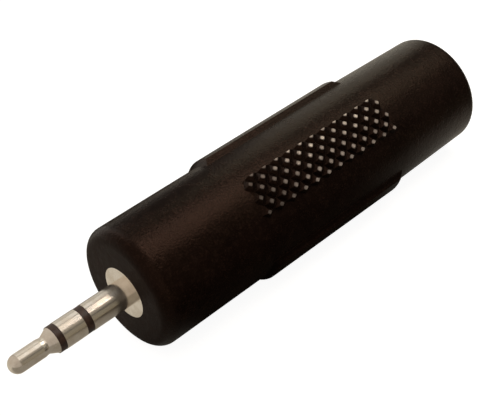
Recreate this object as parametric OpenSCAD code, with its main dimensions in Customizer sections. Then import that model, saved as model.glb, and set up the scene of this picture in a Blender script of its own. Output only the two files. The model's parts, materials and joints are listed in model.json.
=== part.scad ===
// Audio plug adapter: a 2.5 mm stereo plug on a moulded barrel with a 6.35 mm stereo socket in its rear end.
// The axis of the barrel lies along X and the adapter lies on its side, between a plain and a knurled grip pad.
// The origin is the centre of the plug's collar face. The plug points to -X and the socket opens to +X.
// Angles round the axis run from +Y (0) to +Z (90).

/* [Barrel] */
// Diameter of the barrel from its front edge to the end of the pads
barrel_d = 11.6; // [11.2:0.1:13]
// Length of the barrel
barrel_len = 41.3; // [37.2:0.1:46]
// Diameter at the socket end, after the slight taper behind the pads
barrel_rear_d = 11.3; // [10.9:0.1:11.6]
// Distance from the pads to the start of that taper
taper_lead = 0.5; // [0.2:0.1:2]
// Rounding of the front edge
front_round = 1.15; // [0.3:0.05:1.5]
// Rounding of the rear edge
rear_round = 0.65; // [0.2:0.05:0.7]
// Thickness of the front wall that grips the plug
front_wall = 3.0; // [2.4:0.1:3.2]
// Diameter of the space for the wires, in front of the contact carrier
wiring_d = 8.6; // [8.5:0.1:8.9]
// Diameter of the hollow that takes the contact carrier and the bushing
cavity_d = 9.4; // [9.3:0.05:9.7]

/* [Grip pads] */
// Number of raised pads round the barrel, plain and knurled in turn
pad_count = 4; // [2:2:6]
// Distance from the front face to the pads
pad_start = 11.93; // [10:0.01:14]
// Height of the pads over the barrel
pad_height = 0.46; // [0.36:0.02:0.6]
// Distance between knurl points in one row along the barrel
knurl_pitch = 1.51; // [1.2:0.01:1.8]
// Columns of knurl points along a pad, half a pitch apart
knurl_columns = 23; // [17:2:27]
// Angle between two rows of knurl points
knurl_step = 6.8; // [5:0.1:8]
// Rows of full points across a pad
knurl_rows = 5; // [3:2:7]
// Depth of the grooves between the points
knurl_depth = 0.34; // [0.2:0.01:0.35]
// Width of the flat on a point, as a share of the point
knurl_flat = 0.36; // [0.2:0.02:0.6]
// Length of the slope at each end and side of a plain pad
ramp_len = 0.8; // [0.4:0.05:1.4]
// Angle that the top of a plain pad spans between its side slopes
plain_angle = 45; // [36:1:48]

/* [Plug] */
// Diameter of the plug's sleeve and ring
plug_d = 2.5; // [2.4:0.05:3.5]
// Length of the plug from the collar to the tip
plug_len = 11.7; // [10.5:0.1:14]
// Diameter of the rounded nose
nose_d = 1.68; // [1.4:0.02:2.2]
// Diameter at the waist behind the nose
waist_d = 1.58; // [1.3:0.02:1.64]
// Length of the step from the nose down to the waist
waist_step = 0.3; // [0.2:0.05:0.4]
// Length of the waist's flat
waist_flat = 0.15; // [0.05:0.05:0.3]
// Length of the flare from the middle of the waist to the first insulating ring
flare_len = 0.85; // [0.5:0.05:1.2]
// How far the flare's edge stays below the plug's surface
flare_shy = 0.07; // [0:0.01:0.12]
// Length of the first insulating ring
tip_band = 0.6; // [0.3:0.05:1]
// How far the insulating rings lie below the contacts' surface
band_shy = 0.02; // [0:0.01:0.08]
// Length of the ring contact
ring_len = 2.1; // [1.5:0.05:3]
// Length of the second insulating ring
ring_band = 0.7; // [0.3:0.05:1]
// Length of the sleeve contact in front of the collar
sleeve_len = 4.05; // [3:0.05:5]
// Diameter of the collar
collar_d = 4.88; // [4.4:0.02:6]
// Thickness of the collar
collar_t = 0.8; // [0.4:0.05:1.2]
// Diameter of the shank behind the collar
shank_d = 3.8; // [3.5:0.05:4.2]
// Width across the shank's two flats
shank_flats = 3.2; // [3:0.05:3.4]
// Diameter of the centre rod
rod_d = 0.8; // [0.6:0.05:0.9]
// Wall of the insulating tube round the rod
tip_tube_wall = 0.2; // [0.15:0.01:0.24]
// Wall of the ring contact's tube
ring_tube_wall = 0.22; // [0.15:0.01:0.24]
// Wall of the insulating tube inside the sleeve
ring_insulator_wall = 0.18; // [0.12:0.01:0.2]
// Wall of the sleeve's neck, which passes through its tag
neck_wall = 0.45; // [0.35:0.05:0.5]

/* [Solder tags] */
// Thickness of a tag
tag_t = 0.35; // [0.2:0.05:0.45]
// Thickness of an insulating washer
washer_t = 0.4; // [0.25:0.05:0.5]
// Height of a riveted end
rivet_h = 0.3; // [0.2:0.05:0.35]
// How far a riveted end spreads over its tag
rivet_spread = 0.25; // [0.15:0.01:0.3]
// Diameter of the sleeve tag's ring
sleeve_tag_d = 4.8; // [4:0.1:5]
// Diameter of the ring tag's ring and of the washer in front of it
ring_tag_d = 4.0; // [3:0.1:4.4]
// Diameter of the tip tag's ring and of the washer in front of it
tip_tag_d = 3.2; // [2.2:0.1:3.6]
// Width of a tag's lug
lug_w = 1.1; // [0.8:0.05:1.3]
// Diameter of a solder cone at its tag
solder_d = 1.0; // [0.8:0.05:1.1]
// Height of a solder cone
solder_h = 0.35; // [0.2:0.05:0.4]
// Length of the solder on the sleeve strip
strip_solder_len = 0.5; // [0.3:0.05:0.7]
// Thickness of the solder round a core at its thin end and at the strip
solder_skin = 0.05; // [0.03:0.01:0.1]

/* [Wires] */
// Diameter of the copper core
core_d = 0.4; // [0.3:0.02:0.46]
// Diameter over the jacket
jacket_d = 0.9; // [0.7:0.05:1]
// Bend of the core where it turns from the lug into its arc
wire_bend = 0.7; // [0.5:0.05:0.75]
// Distance from the plane of the wires' arcs to the contacts' roots
wire_setback = 0.35; // [0.3:0.01:0.4]
// Length of a wire's end along its contact's root
lap_len = 1.1; // [0.9:0.05:1.2]

/* [Socket] */
// Bore of the bushing, for a 6.35 mm plug
socket_bore_d = 6.45; // [6.4:0.01:6.6]
// Distance from the barrel's front face to the contact carrier
carrier_start = 8.7; // [8.4:0.05:9]
// Wall of the bushing's tube
bushing_wall = 0.65; // [0.5:0.05:0.75]
// Length of the bushing's tube
bushing_len = 8.7; // [6:0.1:12]
// Thickness of the bushing's flange
flange_t = 0.9; // [0.6:0.05:1.2]
// Depth of the flange below the rear face
mouth_recess = 0.2; // [0.1:0.05:0.4]
// Chamfer at the mouth
mouth_chamfer = 0.4; // [0.2:0.05:0.5]
// Bore of the contact carrier
carrier_bore_d = 6.8; // [6.78:0.01:6.9]
// Thickness of the carrier's end wall
end_wall = 1.7; // [1.4:0.05:1.9]

/* [Contacts] */
// Thickness of a contact spring
leaf_t = 0.25; // [0.2:0.01:0.3]
// Width of a contact spring
leaf_w = 2.0; // [1.6:0.05:2.1]
// Distance from the axis to the middle of a spring's root
leaf_r = 3.85; // [3.7:0.01:3.88]
// Gap between the resting contacts' faces, across the socket
contact_gap = 4.6; // [4.5:0.05:5]
// Depth of the tip contact from the mouth
tip_depth = 25.0; // [24:0.1:26]
// Depth of the ring contact from the mouth
ring_depth = 19.5; // [18.5:0.1:20.5]
// Length of a contact's flat crest
crest_len = 0.5; // [0.2:0.05:0.8]
// Length of a contact's lead-out beyond its crest, along the axis
lip_len = 0.95; // [0.6:0.05:1.1]
// Rise of a contact's lead-out
lip_rise = 0.6; // [0.3:0.05:0.7]
// Length of a root that stands out of the end wall
tail_len = 1.7; // [1.5:0.05:1.8]
// Thickness of the sleeve strip
strip_t = 0.3; // [0.2:0.01:0.35]
// Width of the sleeve strip
strip_w = 1.5; // [1:0.05:1.8]
// Length of the opening through which the strip reaches the bushing
strip_window_len = 3.6; // [3:0.1:5]
// Distance from the start of that opening to the strip's bend
strip_lead = 0.9; // [0.6:0.1:1.2]
// Length of that bend
strip_bend_len = 0.8; // [0.5:0.1:1]

/* [Clearances] */
// Clearance between tubes and bores that are pressed together
press_gap = 0.01; // [0.005:0.005:0.03]
// Clearance between the carrier or bushing and what they slide into
slip_gap = 0.05; // [0.02:0.01:0.08]
// Clearance at each side of a spring or strip in its slot
slot_gap = 0.15; // [0.1:0.01:0.25]
// Clearance in front of a spring's lip
lip_gap = 0.6; // [0.4:0.05:0.8]
// Clearance of a wire in its eyelet
eyelet_gap = 0.06; // [0.04:0.01:0.1]
// Clearance between a wire's end and the contact that it is soldered to
lap_gap = 0.14; // [0.12:0.01:0.2]

/* [Hidden] */
$fn = 96;
// Overshoot of a cutting shape past the face that it cuts
cut = 0.5;
// How far the thinner stretch of a stepped piece reaches into the thicker one
inset = 0.1;

barrel_r = barrel_d / 2;
barrel_rear_r = barrel_rear_d / 2;
cavity_r = cavity_d / 2;
wiring_r = wiring_d / 2;
pad_r = barrel_r + pad_height;
pad_root_r = barrel_r / 2;
first_pad_angle = 45;
knurl_half_pitch = knurl_pitch / 2;
knurl_cells = knurl_columns + 1;
knurl_half = knurl_rows + 1;
knurl_r = pad_r - knurl_depth;
// Radius of the knurl's points before each row is cut down to its flat
knurl_apex_r = knurl_r + knurl_depth / (1 - knurl_flat);
pad_angle = knurl_half * knurl_step;
pad_len = knurl_cells * knurl_half_pitch;
pad_end = pad_start + pad_len;
// How far the slopes round a pad reach into the barrel's wall
ramp_dip = 0.2;

// Places along the axis, from the tip to the mouth
plug_r = plug_d / 2;
nose_r = nose_d / 2;
waist_r = waist_d / 2;
sleeve_x = -sleeve_len;
ring_band_x = sleeve_x - ring_band;
ring_x = ring_band_x - ring_len;
tip_band_x = ring_x - tip_band;
waist_x = tip_band_x - flare_len;
nose_x = -plug_len;
sleeve_tag_x = front_wall;
sleeve_rivet_x = sleeve_tag_x + tag_t;
sleeve_washer_x = sleeve_rivet_x + rivet_h;
ring_tag_x = sleeve_washer_x + washer_t;
ring_rivet_x = ring_tag_x + tag_t;
ring_washer_x = ring_rivet_x + rivet_h;
tip_tag_x = ring_washer_x + washer_t;
tip_rivet_x = tip_tag_x + tag_t;
mouth_x = barrel_len - mouth_recess;
flange_x = mouth_x - flange_t;
bushing_x = flange_x - bushing_len;
carrier_x = carrier_start;
socket_end_x = carrier_x + end_wall;
tail_x = carrier_x - tail_len;

// Radii of the plug's nested tubes, from the rod outwards
rod_r = rod_d / 2;
tip_tube_r = rod_r + tip_tube_wall;
ring_tube_r = tip_tube_r + ring_tube_wall;
sleeve_bore_r = ring_tube_r + ring_insulator_wall;
neck_r = sleeve_bore_r + neck_wall;
collar_r = collar_d / 2;

// Socket parts
socket_bore_r = socket_bore_d / 2;
bushing_r = socket_bore_r + bushing_wall;
carrier_r = cavity_r - slip_gap;
carrier_bore_r = carrier_bore_d / 2;
leaf_floor_r = leaf_r - leaf_t / 2;
tip_angle = 90;
ring_angle = 270;
strip_angle = 180;
strip_groove = 2 * slot_gap + strip_t;
strip_r = carrier_r - strip_groove / 2;
strip_tail_r = leaf_floor_r + strip_t / 2;
strip_touch_r = bushing_r + press_gap + strip_t / 2;
strip_bend_x = bushing_x + strip_lead;

// Wires: each runs from its lug, round the axis in one plane, to the root of its contact
core_r = core_d / 2;
jacket_r = jacket_d / 2;
wire_r = leaf_floor_r - lap_gap - core_r;
wire_arc_r = sqrt(wire_r * wire_r - wire_bend * wire_bend);
wire_turn = atan(wire_bend / wire_arc_r);
wire_plane_x = tail_x - wire_setback;
wire_end_x = tail_x + lap_len;
tip_lug_angle = -20;
ring_lug_angle = 200;
sleeve_lug_angle = 110;

// Turns a shape that stands on Z so that it lies along the axis, from the place x
module on_axis(x = 0) {
    translate([x, 0, 0])
        rotate([90, 0, 90])
            children();
}

// Turns a shape drawn as (distance along the axis, distance from the axis) to an angle round the axis
module at_angle(angle) {
    rotate([angle, 0, 0])
        children();
}

// Cylinder along the axis from x0 to x1
module rod(r, x0, x1) {
    on_axis(x0)
        cylinder(h = x1 - x0, r = r);
}

// Block that reaches from one radius to another at an angle round the axis
module block_at(angle, x0, x1, r0, r1, w) {
    at_angle(angle)
        translate([x0, r0, -w / 2])
            cube([x1 - x0, r1 - r0, w]);
}

// Bent strip of sheet metal that follows a list of (x, r) places
module bent_strip(places, t, w, angle) {
    at_angle(angle)
        linear_extrude(w, center = true)
            for (i = [0 : len(places) - 2]) {
                run = places[i + 1] - places[i];
                translate(places[i]) {
                    rotate(atan2(run.y, run.x))
                        translate([0, -t / 2])
                            square([norm(run), t]);
                    if (i > 0) circle(d = t);
                }
            }
}

// Outline of the barrel, as (radius, place along the axis)
module barrel_outline() {
    polygon([
        [0, 0], [barrel_r - front_round, 0], [barrel_r, front_round],
        [barrel_r, pad_end + taper_lead], [barrel_rear_r, barrel_len - rear_round],
        [barrel_rear_r - rear_round, barrel_len], [0, barrel_len]
    ]);
    translate([barrel_r - front_round, front_round])
        circle(front_round);
    translate([barrel_rear_r - rear_round, barrel_len - rear_round])
        circle(rear_round);
}

// A place on a knurled pad, i half pitches from its front end and j steps across, at radius r
function knurl_place(i, j, r) =
    let (angle = (j - knurl_half / 2) * knurl_step)
    [r * cos(angle), r * sin(angle), i * knurl_half_pitch];

// Where the slopes round a knurled pad run down into the barrel: at both ends and the last edge
function is_foot(i, j) = i == 0 || i == knurl_cells || j == knurl_half;

// Points stand where i + j is even, with grooves between them
function knurl_height(i, j) =
    is_foot(i, j) ? barrel_r - ramp_dip : (i + j) % 2 == 0 ? knurl_apex_r : knurl_r;

// Raised pad with diamond points, standing on Z with its middle towards +X
module knurled_pad() {
    n = knurl_cells;
    m = knurl_half;
    top = [for (i = [0 : n], j = [0 : m]) knurl_place(i, j, knurl_height(i, j))];
    root = [for (i = [0 : n], j = [0 : m]) knurl_place(i, j, pad_root_r)];
    function at(i, j) = i * (m + 1) + j;
    function under(i, j) = len(top) + at(i, j);
    slopes = [for (i = [0 : n - 1], j = [0 : m - 1])
        each (i + j) % 2 == 0
            ? [[at(i, j), at(i + 1, j), at(i, j + 1)], [at(i + 1, j + 1), at(i, j + 1), at(i + 1, j)]]
            : [[at(i + 1, j), at(i + 1, j + 1), at(i, j)], [at(i, j + 1), at(i, j), at(i + 1, j + 1)]]];
    base = [for (i = [0 : n - 1], j = [0 : m - 1])
        [under(i, j), under(i, j + 1), under(i + 1, j + 1), under(i + 1, j)]];
    ends = [for (j = [0 : m - 1])
        each [[at(0, j), at(0, j + 1), under(0, j + 1), under(0, j)],
            [at(n, j + 1), at(n, j), under(n, j), under(n, j + 1)]]];
    edges = [for (i = [0 : n - 1])
        each [[at(i + 1, 0), at(i, 0), under(i, 0), under(i + 1, 0)],
            [at(i, m), at(i + 1, m), under(i + 1, m), under(i, m)]]];
    // Corners between the planes that cut the rows down to the pad's radius
    corners = [for (j = [-1 : m])
        let (angle = (j + 0.5 - m / 2) * knurl_step)
        pad_r / cos(knurl_step / 2) * [cos(angle), sin(angle)]];
    intersection() {
        polyhedron(concat(top, root), concat(slopes, base, ends, edges));
        translate([0, 0, -cut])
            linear_extrude(pad_len + 2 * cut)
                polygon(concat([[0, 0]], corners));
    }
}

// Raised smooth pad with slopes all round, standing on Z with its middle towards +X
module plain_pad() {
    brow_angle = plain_angle / 2;
    foot_angle = brow_angle + ramp_len / barrel_r * 180 / PI;
    brow = pad_r * [cos(brow_angle), sin(brow_angle)];
    foot = (barrel_r - ramp_dip) * [cos(foot_angle), sin(foot_angle)];
    // The side slopes go on past the pad's surface
    over = foot + 2 * (brow - foot);
    intersection() {
        rotate_extrude()
            polygon([
                [pad_root_r, 0], [barrel_r - ramp_dip, 0], [pad_r, ramp_len],
                [pad_r, pad_len - ramp_len], [barrel_r - ramp_dip, pad_len], [pad_root_r, pad_len]
            ]);
        translate([0, 0, -cut])
            linear_extrude(pad_len + 2 * cut)
                polygon([[0, 0], [foot.x, -foot.y], [over.x, -over.y], over, foot]);
    }
}

// Outline of the shank that keys the plug in the front wall
module shank_outline(gap = 0) {
    intersection() {
        circle(shank_d / 2 + gap);
        square([shank_d + 2 * gap, shank_flats + 2 * gap], center = true);
    }
}

// Moulded barrel in one piece
module barrel_shell() {
    color([0.07, 0.06, 0.055])
        difference() {
            on_axis() {
                rotate_extrude()
                    barrel_outline();
                for (k = [0 : pad_count - 1])
                    translate([0, 0, pad_start])
                        rotate(first_pad_angle + k * 360 / pad_count)
                            if (k % 2 == 0) plain_pad(); else knurled_pad();
            }
            rod(collar_r + press_gap, -cut, collar_t);
            on_axis()
                linear_extrude(front_wall + cut)
                    shank_outline(press_gap);
            rod(wiring_r, front_wall, carrier_x + cut);
            rod(cavity_r, carrier_x, barrel_len + cut);
        }
}

// Nose, waist and flare of the tip contact, with the rod that runs back through the plug
module plug_tip() {
    waist_start = waist_x - nose_x - waist_flat / 2;
    flare_end = tip_band_x - nose_x;
    color([0.78, 0.76, 0.72]) {
        on_axis(nose_x)
            rotate_extrude()
                intersection() {
                    union() {
                        translate([0, nose_r])
                            circle(nose_r);
                        polygon([
                            [0, nose_r], [nose_r, nose_r], [nose_r, waist_start - waist_step],
                            [waist_r, waist_start], [waist_r, waist_start + waist_flat],
                            [plug_r - flare_shy, flare_end], [0, flare_end]
                        ]);
                    }
                    square([plug_r, plug_len]);
                }
        rod(rod_r, tip_band_x - inset, tip_rivet_x + inset);
        rod(rod_r + rivet_spread, tip_rivet_x, tip_rivet_x + rivet_h);
    }
}

// Insulating ring behind the tip, in one piece with its tube round the rod
module tip_insulator() {
    color([0.10, 0.07, 0.05])
        difference() {
            union() {
                rod(plug_r - band_shy, tip_band_x, ring_x);
                rod(tip_tube_r, ring_x - inset, tip_tag_x);
            }
            rod(rod_r + press_gap, tip_band_x - cut, tip_tag_x + cut);
        }
}

// Ring contact, turned in one piece with its tube
module plug_ring() {
    color([0.78, 0.76, 0.72])
        difference() {
            union() {
                rod(plug_r, ring_x, ring_band_x);
                rod(ring_tube_r, ring_band_x - inset, ring_rivet_x + inset);
                rod(ring_tube_r + rivet_spread, ring_rivet_x, ring_washer_x);
            }
            rod(tip_tube_r + press_gap, ring_x - cut, ring_washer_x + cut);
        }
}

// Insulating ring between ring and sleeve, in one piece with its tube
module ring_insulator() {
    color([0.10, 0.07, 0.05])
        difference() {
            union() {
                rod(plug_r - band_shy, ring_band_x, sleeve_x);
                rod(sleeve_bore_r, sleeve_x - inset, ring_tag_x);
            }
            rod(ring_tube_r + press_gap, ring_band_x - cut, ring_tag_x + cut);
        }
}

// Sleeve contact, turned in one piece with its collar and keyed shank
module plug_sleeve() {
    color([0.78, 0.76, 0.72])
        difference() {
            union() {
                rod(plug_r, sleeve_x, collar_t);
                rod(collar_r, 0, collar_t);
                on_axis(collar_t - inset)
                    linear_extrude(front_wall - collar_t + inset)
                        shank_outline();
                rod(neck_r, front_wall - inset, sleeve_rivet_x + inset);
                rod(neck_r + rivet_spread, sleeve_rivet_x, sleeve_washer_x);
            }
            rod(sleeve_bore_r + press_gap, sleeve_x - cut, sleeve_washer_x + cut);
        }
}

// Flat solder tag: a ring on the plug's axis with a lug and an eyelet for the wire
module solder_tag(x, ring_d, hole_r, lug_angle) {
    color([0.80, 0.72, 0.50])
        on_axis(x)
            linear_extrude(tag_t)
                difference() {
                    union() {
                        circle(d = ring_d);
                        rotate(lug_angle)
                            translate([0, -lug_w / 2])
                                square([wire_r, lug_w]);
                        rotate(lug_angle)
                            translate([wire_r, 0])
                                circle(d = lug_w);
                    }
                    circle(hole_r + press_gap);
                    rotate(lug_angle)
                        translate([wire_r, 0])
                            circle(core_r + eyelet_gap);
                }
}

module sleeve_tag() {
    solder_tag(sleeve_tag_x, sleeve_tag_d, neck_r, sleeve_lug_angle);
}

module ring_tag() {
    solder_tag(ring_tag_x, ring_tag_d, ring_tube_r, ring_lug_angle);
}

module tip_tag() {
    solder_tag(tip_tag_x, tip_tag_d, rod_r, tip_lug_angle);
}

// Flat insulating washer
module washer(x, d, hole_r) {
    color([0.55, 0.20, 0.12])
        difference() {
            rod(d / 2, x, x + washer_t);
            rod(hole_r + press_gap, x - cut, x + washer_t + cut);
        }
}

module sleeve_washer() {
    washer(sleeve_washer_x, ring_tag_d, sleeve_bore_r);
}

module ring_washer() {
    washer(ring_washer_x, tip_tag_d, tip_tube_r);
}

// Places along a wire that stands on Z, each with the direction that faces out from the axis there
function wire_places(start_z, lug_angle, contact_angle) =
    let (from = lug_angle + wire_turn, to = contact_angle - wire_turn, steps = 4)
    concat(
        [[start_z, from, -wire_bend]],
        [for (k = [0 : steps]) let (a = 90 * k / steps)
            [wire_plane_x - wire_bend + wire_bend * sin(a), from, -wire_bend * cos(a)]],
        [for (k = [1 : 2 * steps - 1]) [wire_plane_x, from + (to - from) * k / (2 * steps), 0]],
        [for (k = [0 : steps]) let (a = 90 * k / steps)
            [wire_plane_x + wire_bend - wire_bend * cos(a), to, wire_bend * sin(a)]],
        [[wire_end_x, to, wire_bend]]
    );

// Copper core from the lug's eyelet to the root of its contact
module wire_core(start_x, lug_angle, contact_angle) {
    places = wire_places(start_x, lug_angle, contact_angle);
    last = len(places) - 1;
    sides = 12;
    middle = [for (p = places)
        [wire_arc_r * cos(p[1]) - p[2] * sin(p[1]), wire_arc_r * sin(p[1]) + p[2] * cos(p[1]), p[0]]];
    rings = [for (i = [0 : last])
        let (
            run = middle[min(i + 1, last)] - middle[max(i - 1, 0)],
            along = i == 0 || i == last ? [0, 0, 1] : run / norm(run),
            out = [cos(places[i][1]), sin(places[i][1]), 0],
            across = cross(along, out)
        )
        for (k = [0 : sides - 1])
            middle[i] + core_r * (out * cos(360 * k / sides) + across * sin(360 * k / sides))];
    walls = [for (i = [0 : last - 1], k = [0 : sides - 1])
        [i * sides + k, (i + 1) * sides + k, (i + 1) * sides + (k + 1) % sides, i * sides + (k + 1) % sides]];
    caps = [[for (k = [0 : sides - 1]) k], [for (k = [sides - 1 : -1 : 0]) last * sides + k]];
    color([0.72, 0.40, 0.20])
        on_axis()
            polyhedron(rings, concat(walls, caps));
}

// Jacket over the arc of a wire
module wire_jacket(lug_angle, contact_angle, tint) {
    from = lug_angle + wire_turn;
    to = contact_angle - wire_turn;
    color(tint)
        on_axis(wire_plane_x)
            rotate(from)
                rotate_extrude(angle = to - from)
                    translate([wire_arc_r, 0])
                        difference() {
                            circle(jacket_r);
                            circle(core_r + press_gap);
                        }
}

module tip_wire() {
    wire_core(tip_tag_x, tip_lug_angle, tip_angle);
}

module tip_wire_jacket() {
    wire_jacket(tip_lug_angle, tip_angle, [0.85, 0.83, 0.78]);
}

module ring_wire() {
    wire_core(ring_tag_x, ring_lug_angle, ring_angle);
}

module ring_wire_jacket() {
    wire_jacket(ring_lug_angle, ring_angle, [0.70, 0.10, 0.08]);
}

module sleeve_wire() {
    wire_core(sleeve_tag_x, sleeve_lug_angle, strip_angle);
}

module sleeve_wire_jacket() {
    wire_jacket(sleeve_lug_angle, strip_angle, [0.06, 0.06, 0.06]);
}

// Cone of solder round a core where it leaves a tag
module solder_cone(x, lug_angle) {
    on_axis(x + tag_t)
        rotate(lug_angle)
            translate([wire_r, 0, 0])
                difference() {
                    cylinder(h = solder_h, r1 = solder_d / 2, r2 = core_r + solder_skin);
                    translate([0, 0, -cut])
                        cylinder(h = solder_h + 2 * cut, r = core_r + press_gap);
                }
}

// Solder between the sleeve wire's end and the strip
module strip_solder() {
    difference() {
        block_at(strip_angle, wire_end_x - strip_solder_len, wire_end_x, wire_r, leaf_floor_r,
            2 * jacket_r);
        at_angle(strip_angle)
            translate([0, wire_r, 0])
                rod(core_r + press_gap, wire_end_x - strip_solder_len - cut, wire_end_x + cut);
    }
}

module solder_joints() {
    color([0.75, 0.76, 0.78]) {
        solder_cone(tip_tag_x, tip_lug_angle);
        solder_cone(ring_tag_x, ring_lug_angle);
        solder_cone(sleeve_tag_x, sleeve_lug_angle);
        strip_solder();
    }
}

// Window for a spring and the notch that its root lies in
module spring_slot(angle, end_x) {
    block_at(angle, socket_end_x, end_x, carrier_bore_r - cut, cavity_r + cut, leaf_w + 2 * slot_gap);
    block_at(angle, carrier_x - cut, socket_end_x + cut, leaf_floor_r, cavity_r + cut, leaf_w + 2 * slot_gap);
}

// Moulded tube that guides the plug and carries the contacts
module contact_carrier() {
    color([0.16, 0.16, 0.17])
        difference() {
            rod(carrier_r, carrier_x, flange_x);
            rod(carrier_bore_r, socket_end_x, flange_x + cut);
            rod(bushing_r + slip_gap, bushing_x, flange_x + cut);
            spring_slot(tip_angle, mouth_x - tip_depth + crest_len / 2 + lip_len + lip_gap);
            spring_slot(ring_angle, mouth_x - ring_depth + crest_len / 2 + lip_len + lip_gap);
            block_at(strip_angle, carrier_x - cut, socket_end_x, leaf_floor_r, cavity_r + cut,
                strip_w + 2 * slot_gap);
            block_at(strip_angle, carrier_x - cut, bushing_x + strip_window_len, carrier_r - strip_groove,
                cavity_r + cut, strip_w + 2 * slot_gap);
            block_at(strip_angle, bushing_x, bushing_x + strip_window_len, socket_bore_r, cavity_r + cut,
                strip_w + 2 * slot_gap);
        }
}

// Places of a contact spring from its root, over its crest at a depth from the mouth, to its lip
function spring_places(depth) =
    let (crest_r = contact_gap / 2 + leaf_t / 2, crest_x = mouth_x - depth)
    [
        [tail_x, leaf_r], [socket_end_x + leaf_t, leaf_r],
        [crest_x - crest_len, crest_r + leaf_t / 2], [crest_x - crest_len / 2, crest_r],
        [crest_x + crest_len / 2, crest_r], [crest_x + crest_len / 2 + lip_len, crest_r + lip_rise]
    ];

module tip_spring() {
    color([0.80, 0.70, 0.45])
        bent_strip(spring_places(tip_depth), leaf_t, leaf_w, tip_angle);
}

module ring_spring() {
    color([0.80, 0.70, 0.45])
        bent_strip(spring_places(ring_depth), leaf_t, leaf_w, ring_angle);
}

// Strip from the bushing, along a groove in the carrier, to the sleeve wire
module sleeve_strip() {
    color([0.80, 0.72, 0.50])
        bent_strip([
            [tail_x, strip_tail_r], [carrier_x + strip_t, strip_tail_r], [socket_end_x, strip_r],
            [strip_bend_x, strip_r], [strip_bend_x + strip_bend_len, strip_touch_r],
            [bushing_x + strip_window_len - 2 * slot_gap, strip_touch_r]
        ], strip_t, strip_w, strip_angle);
}

// Nickel-plated bushing at the mouth, which is the socket's sleeve contact
module socket_bushing() {
    color([0.80, 0.79, 0.76])
        difference() {
            union() {
                rod(bushing_r, bushing_x, mouth_x);
                rod(cavity_r - slip_gap, flange_x, mouth_x);
            }
            rod(socket_bore_r, bushing_x - cut, mouth_x + cut);
            on_axis(mouth_x - mouth_chamfer)
                cylinder(h = 2 * mouth_chamfer, r1 = socket_bore_r, r2 = socket_bore_r + 2 * mouth_chamfer);
        }
}

barrel_shell();
plug_tip();
tip_insulator();
plug_ring();
ring_insulator();
plug_sleeve();
sleeve_tag();
sleeve_washer();
ring_tag();
ring_washer();
tip_tag();
tip_wire();
tip_wire_jacket();
ring_wire();
ring_wire_jacket();
sleeve_wire();
sleeve_wire_jacket();
solder_joints();
contact_carrier();
tip_spring();
ring_spring();
sleeve_strip();
socket_bushing();
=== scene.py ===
"""Looks for the audio plug adapter. Everything is in metres, in the CAD model's frame."""
import json
import math

import bpy
from mathutils import Matrix, Vector


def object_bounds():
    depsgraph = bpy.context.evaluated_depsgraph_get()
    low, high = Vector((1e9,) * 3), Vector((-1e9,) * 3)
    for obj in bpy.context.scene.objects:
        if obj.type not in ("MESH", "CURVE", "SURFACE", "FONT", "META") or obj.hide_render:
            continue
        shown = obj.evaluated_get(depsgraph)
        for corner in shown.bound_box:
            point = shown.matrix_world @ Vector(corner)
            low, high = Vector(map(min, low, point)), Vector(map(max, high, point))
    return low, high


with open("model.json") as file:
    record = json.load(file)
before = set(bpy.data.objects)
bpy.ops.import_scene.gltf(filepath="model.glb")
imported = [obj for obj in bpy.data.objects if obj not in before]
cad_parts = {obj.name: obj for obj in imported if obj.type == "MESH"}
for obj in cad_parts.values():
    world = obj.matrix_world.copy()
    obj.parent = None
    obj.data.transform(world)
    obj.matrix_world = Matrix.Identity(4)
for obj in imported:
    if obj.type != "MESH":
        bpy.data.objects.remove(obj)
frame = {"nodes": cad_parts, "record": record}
cad_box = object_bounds()

# The barrel and its knurled pads, as part.scad has them: radii, the pads' front end, and the knurl's spacing
BARREL_R = 0.0058
PAD_TOP = 0.00626
KNURL_START = 0.01193
KNURL_HALF_PITCH = 0.000755
KNURL_STEP = math.radians(6.8)
KNURL_MIDDLE = math.radians(-45)

# The camera as fitted to the photograph's outline and knurl: its place, its right and its back. The photograph's
# width and the focal length are both in pixels.
EYE = (-0.03517, -0.06147, 0.05664)
EYE_RIGHT = (0.7148, -0.6891, -0.1193)
EYE_BACK = (-0.5128, -0.6324, 0.5805)
PHOTO_WIDTH = 496
FOCAL_LENGTH = 1064.2

# The floor. The camera sees a glow just under white, and the paint's own light fills it up outside the shadow.
FLOOR_Z = cad_box[0].z
FLOOR_HALF = 3.0
FLOOR_GLOW = 0.92
FLOOR_PAINT = (0.35, 0.35, 0.35)
WHITE = (1.0, 1.0, 1.0)

# The stretch of a noise's values over which colour and metal change, and the one over which roughness does
CLOUDED = (0.35, 0.7)
HAZED = (0.3, 0.7)

# Depth of the barrel's mottle and grain
GRAIN_DEPTH = 0.00004

# The lamps over the object stand in one row, those behind it in one column, and the plug's cards in one ring
TOP_Y, TOP_Z, TOP_DEPTH = -0.015, 0.100, 0.080
REAR_X, REAR_Y, REAR_WIDTH = 0.090, 0.060, 0.060
CARD_X, CARD_WIDTH = 0.0050, 0.017


# ---- node helpers ----

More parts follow.
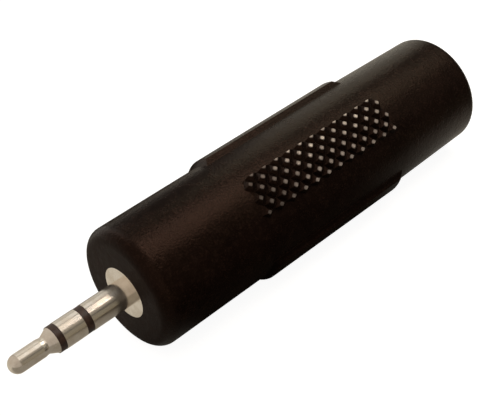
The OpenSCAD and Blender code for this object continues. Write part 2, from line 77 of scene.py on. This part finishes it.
class Nodes:
    """A short way to build a node tree: most calls add a node and return its output socket."""

    def __init__(self, tree):
        self.tree = tree
        tree.nodes.clear()

    def add(self, kind, **settings):
        node = self.tree.nodes.new(kind)
        for name, value in settings.items():
            setattr(node, name, value)
        return node

    def plug(self, socket, value):
        """Links a socket, or sets a constant. None leaves the socket as it is."""
        if isinstance(value, bpy.types.NodeSocket):
            self.tree.links.new(value, socket)
        elif value is not None:
            socket.default_value = value

    def tint(self, socket, color):
        """Links a colour, or sets a constant one of red, green and blue."""
        self.plug(socket, color if isinstance(color, bpy.types.NodeSocket) else (*color, 1))

    def math(self, operation, a, b=None):
        node = self.add("ShaderNodeMath", operation=operation)
        for socket, value in zip(node.inputs, (a, b)):
            self.plug(socket, value)
        return node.outputs[0]

    def product(self, first, *others):
        for other in others:
            first = self.math("MULTIPLY", first, other)
        return first

    def step(self, value, span, to=(0.0, 1.0)):
        """A smooth step: the first of to below the span, and the second above it."""
        node = self.add("ShaderNodeMapRange", interpolation_type="SMOOTHSTEP", clamp=True)
        for name, number in zip(("From Min", "From Max", "To Min", "To Max"), (*span, *to)):
            self.plug(node.inputs[name], number)
        self.plug(node.inputs["Value"], value)
        return node.outputs[0]

    def mix(self, share, a, b):
        node = self.add("ShaderNodeMix", data_type="RGBA")
        self.plug(node.inputs["Factor"], share)
        self.tint(node.inputs["A"], a)
        self.tint(node.inputs["B"], b)
        return node.outputs["Result"]

    def noise(self, where, scale, detail, rough=0.55):
        node = self.add("ShaderNodeTexNoise")
        self.plug(node.inputs["Vector"], where)
        self.plug(node.inputs["Scale"], scale)
        self.plug(node.inputs["Detail"], detail)
        self.plug(node.inputs["Roughness"], rough)
        return node.outputs["Fac"]

    def place(self):
        return self.add("ShaderNodeTexCoord").outputs["Object"]

    def xyz(self, where):
        node = self.add("ShaderNodeSeparateXYZ")
        self.plug(node.inputs[0], where)
        return node.outputs

    def scaled(self, where, factors):
        node = self.add("ShaderNodeVectorMath", operation="MULTIPLY")
        self.plug(node.inputs[0], where)
        self.plug(node.inputs[1], factors)
        return node.outputs[0]

    def bump(self, height, distance, strength, normal=None):
        node = self.add("ShaderNodeBump")
        self.plug(node.inputs["Height"], height)
        self.plug(node.inputs["Distance"], distance)
        self.plug(node.inputs["Strength"], strength)
        self.plug(node.inputs["Normal"], normal)
        return node.outputs[0]

    def soft_edge(self, radius):
        node = self.add("ShaderNodeBevel", samples=4)
        self.plug(node.inputs["Radius"], radius)
        return node.outputs[0]

    def surface(self, color, rough, metal, normal, **more):
        """The whole surface of a material. Further inputs are constants, by their names with _ for a space."""
        node = self.add("ShaderNodeBsdfPrincipled")
        self.tint(node.inputs["Base Color"], color)
        self.plug(node.inputs["Roughness"], rough)
        self.plug(node.inputs["Metallic"], metal)
        self.plug(node.inputs["Normal"], normal)
        for name, value in more.items():
            self.plug(node.inputs[name.replace("_", " ")], value)
        self.plug(self.add("ShaderNodeOutputMaterial").inputs["Surface"], node.outputs[0])

    def shader(self, kind, color, strength=None):
        """A plain shader: a matt paint, a glow or a background."""
        node = self.add(kind)
        self.tint(node.inputs["Color"], color)
        if strength is not None:
            self.plug(node.inputs["Strength"], strength)
        return node.outputs[0]

    def together(self, a, b):
        node = self.add("ShaderNodeAddShader")
        self.plug(node.inputs[0], a)
        self.plug(node.inputs[1], b)
        return node.outputs[0]

    def camera_or_rest(self, path, to_camera, to_rest):
        """One shader for what the camera sees, and another for all other rays."""
        node = self.add("ShaderNodeMixShader")
        self.plug(node.inputs[0], path.outputs["Is Camera Ray"])
        self.plug(node.inputs[1], to_rest)
        self.plug(node.inputs[2], to_camera)
        return node.outputs[0]


def material(name):
    made = bpy.data.materials.new(name)
    made.use_nodes = True
    return made, Nodes(made.node_tree)


# ---- places on the barrel ----

def from_axis(n, y, z):
    """Distance from the barrel's axis."""
    return n.math("SQRT", n.math("ADD", n.math("MULTIPLY", y, y), n.math("MULTIPLY", z, z)))


def knurled_side(n, y, z):
    """1 on the knurled pads, which face down and back or up and forward, and 0 on the plain ones."""
    return n.step(n.math("MULTIPLY", y, z), (-0.000004, 0.0), (1.0, 0.0))


def knurl_points(n, x, y, z):
    """1 in the middle of each knurl point and -1 in the middle of each hollow between them."""
    along = n.math("MULTIPLY", n.math("SUBTRACT", x, KNURL_START), math.pi / KNURL_HALF_PITCH)
    around = n.math("ARCTANGENT", n.math("DIVIDE", z, y))
    across = n.math("MULTIPLY", n.math("SUBTRACT", around, KNURL_MIDDLE), math.pi / KNURL_STEP)
    return n.product(n.math("COSINE", along), n.math("COSINE", n.math("ADD", across, math.pi)))


def knurl_wear_and_glint(n, where, r):
    """How far the knurl's points are lightened, partly by scuffs and partly by a painted highlight: on the points
    alone, most in their middles, and least at the front, where the painted highlight falls off.
    """
    x, y, z = n.xyz(where)
    on_top = n.step(r, (PAD_TOP - 0.00007, PAD_TOP - 0.00001))
    # Painted falloff of light: towards the barrel's front the points' painted highlight fades to 0.28
    painted_falloff = n.step(x, (0.0125, 0.0200), (0.28, 1.0))
    patchy = n.step(n.noise(where, 900, 2), (0.3, 0.62), (0.55, 1.0))
    in_the_middle = n.step(knurl_points(n, x, y, z), (0.36, 1.0), (0.02, 1.0))
    return n.product(on_top, painted_falloff, knurled_side(n, y, z), patchy, in_the_middle)


def groove_shade(n, r):
    """Painted shade: 1 in the knurl's grooves and at the foot of the pads' slopes, and 0 on the barrel and on the
    pads' tops.
    """
    below_top = n.step(r, (PAD_TOP - 0.00032, PAD_TOP - 0.00010), (1.0, 0.0))
    return n.product(below_top, n.step(r, (BARREL_R + 0.00004, BARREL_R + 0.00008)))


# ---- materials ----

def barrel_plastic():
    """Very dark brown moulding with a fine grain, and a matt front face. The knurl's points carry scuffs and a
    painted highlight, and its grooves carry painted shade.
    """
    made, n = material("barrel_plastic")
    where = n.place()
    x, y, z = n.xyz(where)
    r = from_axis(n, y, z)
    mottle = n.noise(where, 1500, 3, 0.6)
    grain = n.noise(where, 5200, 2, 0.6)
    worn_and_glinting = knurl_wear_and_glint(n, where, r)

    dark, lighter = (0.0052, 0.0027, 0.0020), (0.0084, 0.0043, 0.0031)
    mottled, flecked = (0.017, 0.0090, 0.0066), (0.034, 0.0165, 0.0115)
    scuff_and_glint, painted_shade = (0.55, 0.475, 0.43), (0.002, 0.0011, 0.0008)
    base = n.mix(n.step(n.noise(where, 260, 4), (0.35, 0.68)), dark, lighter)
    base = n.mix(n.step(mottle, (0.48, 0.72), (0.0, 0.6)), base, mottled)
    base = n.mix(n.step(grain, (0.54, 0.74), (0.0, 0.5)), base, flecked)
    # The knurl's points are lightened, partly by scuffs and partly by a painted highlight
    base = n.mix(worn_and_glinting, base, scuff_and_glint)
    # Painted shade, near black, in the knurl's grooves and at the foot of the pads' slopes
    base = n.mix(n.math("MULTIPLY", groove_shade(n, r), 0.7), base, painted_shade)

    front_face = n.step(x, (0.0, 0.0004), (0.34, 0.0))
    rough = n.math("ADD", n.step(mottle, HAZED, (0.20, 0.28)), front_face)
    normal = n.soft_edge(0.00005)
    normal = n.bump(mottle, GRAIN_DEPTH, 0.6, normal)
    normal = n.bump(grain, GRAIN_DEPTH, 0.9, normal)
    # The painted highlight on the knurl's points is also part metal, so they glint
    n.surface(base, rough, n.math("MULTIPLY", worn_and_glinting, 0.40), normal,
              IOR=1.25, Specular_Tint=(1.0, 0.57, 0.41, 1.0))
    return made


def nickel_plate():
    """Slightly hazy plating over fine turning marks, which run round the axis."""
    made, n = material("nickel_plate")
    where = n.place()
    haze = n.noise(where, 900, 3)
    turned = n.noise(n.scaled(where, (1.0, 0.02, 0.02)), 9000, 2, 0.7)
    base = n.mix(n.step(haze, CLOUDED), (0.92, 0.855, 0.76), (0.84, 0.755, 0.64))
    rough = n.step(haze, HAZED, (0.17, 0.24))
    n.surface(base, rough, n.step(haze, CLOUDED, (0.97, 0.88)), n.bump(turned, 0.000003, 0.5))
    return made


def clouded(name, light, dark, rough, metal, cloud, grain):
    """Two shades in clouds of a scale and detail, with a grain of a scale, height and strength."""
    made, n = material(name)
    where = n.place()
    haze = n.noise(where, *cloud)
    scale, height, strength = grain
    normal = n.bump(n.noise(where, scale, 2), height, strength)
    base = n.mix(n.step(haze, CLOUDED), light, dark)
    n.surface(base, n.step(haze, HAZED, rough), metal, normal)
    return made


def plain_metal(name, light, dark, rough):
    return clouded(name, light, dark, rough, 1.0, (1600, 4), (8000, 0.000004, 0.4))


def moulded(name, light, dark, rough):
    return clouded(name, light, dark, rough, 0.0, (1500, 3), (6000, 0.000008, 0.5))


looks = {
    "barrel": barrel_plastic(),
    "nickel": nickel_plate(),
    "plug_insulation": clouded("plug_insulation", (0.032, 0.014, 0.008), (0.070, 0.032, 0.019), (0.30, 0.42),
                               0.0, (2200, 3), (9000, 0.000004, 0.5)),
    "tag": plain_metal("tinned_brass", (0.72, 0.68, 0.58), (0.60, 0.55, 0.44), (0.28, 0.42)),
    "washer": moulded("vulcanised_fibre", (0.26, 0.085, 0.050), (0.18, 0.055, 0.035), (0.55, 0.70)),
    "copper": plain_metal("bare_copper", (0.80, 0.42, 0.26), (0.62, 0.30, 0.18), (0.25, 0.40)),
    "jacket_white": moulded("white_vinyl", (0.74, 0.72, 0.67), (0.66, 0.63, 0.57), (0.40, 0.55)),
    "jacket_red": moulded("red_vinyl", (0.42, 0.025, 0.018), (0.33, 0.018, 0.014), (0.40, 0.55)),
    "jacket_black": moulded("black_vinyl", (0.020, 0.020, 0.020), (0.030, 0.029, 0.028), (0.40, 0.55)),
    "solder": plain_metal("solder_metal", (0.60, 0.61, 0.63), (0.45, 0.46, 0.48), (0.30, 0.48)),
    "carrier": moulded("carrier_plastic", (0.030, 0.030, 0.033), (0.022, 0.022, 0.024), (0.42, 0.55)),
    "spring": plain_metal("phosphor_bronze", (0.76, 0.58, 0.38), (0.62, 0.46, 0.29), (0.22, 0.34)),
}
slot_of = {s["node"]: s["material_slot"] for s in frame["record"]["subparts"]}
for name, piece in frame["nodes"].items():
    piece.data.materials.clear()
    piece.data.materials.append(looks[slot_of[name]])


# ---- floor and world ----

def white_floor():
    """White to the camera, with the object's shadow on it, and to all other rays a dim floor with painted shade,
    darker towards the plug's end. Mirrors alone see it glow round the plug and past the socket, as a painted
    reflection."""
    made, n = material("white_floor")
    x, y, z = n.xyz(n.place())
    path = n.add("ShaderNodeLightPath")
    to_camera = n.together(n.shader("ShaderNodeBsdfDiffuse", FLOOR_PAINT),
                           n.shader("ShaderNodeEmission", WHITE, FLOOR_GLOW))

    # Painted shade: to all but the camera the floor is darker towards the plug's end
    shaded_table = n.mix(n.step(x, (0.018, 0.062)), (0.07, 0.058, 0.046), (0.20, 0.185, 0.15))
    # A painted reflection: only mirrors see the floor glow round the plug and past the socket
    round_plug = n.product(n.step(x, (-0.003, 0.006), (1.0, 0.0)), n.step(y, (-0.002, 0.004), (0.22, 0.52)))
    past_socket = n.product(n.step(x, (0.026, 0.046), (0.0, 0.40)), n.step(y, (-0.016, -0.009)))
    painted_reflection = n.product(n.math("ADD", round_plug, past_socket), path.outputs["Is Glossy Ray"])
    to_rest = n.together(n.shader("ShaderNodeBsdfDiffuse", shaded_table),
                         n.shader("ShaderNodeEmission", (1.0, 0.93, 0.80), painted_reflection))

    n.plug(n.add("ShaderNodeOutputMaterial").inputs["Surface"], n.camera_or_rest(path, to_camera, to_rest))
    return made


def studio_world():
    """White to the camera, and to all other rays a warm room that is dim on the camera's side and bright on the
    plug's."""
    made = bpy.data.worlds.new("studio")
    made.use_nodes = True
    n = Nodes(made.node_tree)
    path = n.add("ShaderNodeLightPath")
    toward = n.add("ShaderNodeTexCoord").outputs["Generated"]
    camera_side = n.add("ShaderNodeVectorMath", operation="DOT_PRODUCT")
    n.plug(camera_side.inputs[0], toward)
    n.plug(camera_side.inputs[1], Vector((-0.30, -0.88, 0.37)).normalized())
    room = n.step(camera_side.outputs["Value"], (0.50, 0.95), (0.12, 0.02))
    plug_side = n.step(n.xyz(toward)[0], (0.0, 0.34), (0.42, 0.0))
    to_rest = n.shader("ShaderNodeBackground", (1.0, 0.90, 0.80), n.math("ADD", room, plug_side))
    to_camera = n.shader("ShaderNodeBackground", WHITE, 1.0)
    n.plug(n.add("ShaderNodeOutputWorld").inputs["Surface"], n.camera_or_rest(path, to_camera, to_rest))
    return made


corners = [(x * FLOOR_HALF, y * FLOOR_HALF, FLOOR_Z) for x, y in ((-1, -1), (1, -1), (1, 1), (-1, 1))]
floor_mesh = bpy.data.meshes.new("floor")
floor_mesh.from_pydata(corners, [], [(0, 1, 2, 3)])
floor_mesh.materials.append(white_floor())
floor = bpy.data.objects.new("floor", floor_mesh)
bpy.context.scene.collection.objects.link(floor)
bpy.context.scene.world = studio_world()


# ---- lamps ----

def softbox(name, place, aim, width, height, radiance, color):
    """A lamp that faces a point, as bright as its radiance whatever its size, and hidden from the camera."""
    lamp = bpy.data.lights.new(name, "AREA")
    lamp.shape = "RECTANGLE"
    lamp.size, lamp.size_y = width, height
    lamp.energy = radiance * math.pi * width * height
    lamp.color = color
    made = bpy.data.objects.new(name, lamp)
    bpy.context.scene.collection.objects.link(made)
    made.location = place
    made.rotation_mode = "QUATERNION"
    made.rotation_quaternion = (Vector(place) - Vector(aim)).to_track_quat("Z", "Y")
    made.visible_camera = False


# Over the object, facing down. The plug and front edge mirror the first, the barrel's front half the second, and its
# rear half the third.
for name, x, width, radiance, color in (
    ("top_plug", 0.0205, 0.025, 0.80, (1.0, 0.98, 0.93)),
    ("top_front", 0.0525, 0.021, 4.5, (1.0, 0.86, 0.77)),
    ("top_rear", 0.105, 0.060, 1.7, (0.98, 1.0, 0.80)),
):
    softbox(name, (x, TOP_Y, TOP_Z), (x, TOP_Y, 0), width, TOP_DEPTH, radiance, color)

# Behind the barrel, for its upper rear edge
for name, z, height, radiance, color in (
    ("rear_low", 0.024, 0.048, 0.66, (1.0, 0.95, 0.78)),
    ("rear_high", 0.076, 0.054, 1.15, (1.0, 0.98, 0.74)),
):
    softbox(name, (REAR_X, REAR_Y, z), (REAR_X, 0, z), REAR_WIDTH, height, radiance, color)

# Past the socket end, on the camera's side, for the knurl
softbox("knurl_card", (0.103, -0.077, 0.069), (0.103, 0, 0), 0.068, 0.062, 0.42, (1.0, 0.96, 0.80))

# Round the plug, for the bands along it, from the one behind it over to the one in front
for name, y, z, height, radiance, color in (
    ("plug_side", 0.0335, 0.0077, 0.026, 0.40, (1.0, 0.97, 0.89)),
    ("plug_top", 0.0205, 0.0277, 0.022, 0.62, (1.0, 0.97, 0.91)),
    ("plug_low", -0.0226, 0.0260, 0.012, 0.17, (1.0, 0.91, 0.74)),
    ("plug_front", -0.0336, 0.005, 0.024, 0.14, (1.0, 0.88, 0.60)),
):
    softbox(name, (CARD_X, y, z), (CARD_X, 0, 0), CARD_WIDTH, height, radiance, color)


# ---- camera ----

eye = bpy.data.cameras.new("camera")
eye.sensor_width = 36.0
eye.lens = FOCAL_LENGTH / PHOTO_WIDTH * eye.sensor_width
eye.clip_start, eye.clip_end = 0.005, 10
camera = bpy.data.objects.new("camera", eye)
bpy.context.scene.collection.objects.link(camera)
back = Vector(EYE_BACK).normalized()
up = back.cross(Vector(EYE_RIGHT).normalized()).normalized()
turn = Matrix((up.cross(back), up, back)).transposed().to_4x4()
camera.matrix_world = Matrix.Translation(EYE) @ turn
bpy.context.scene.camera = camera
bpy.context.scene.view_settings.view_transform = "Standard"
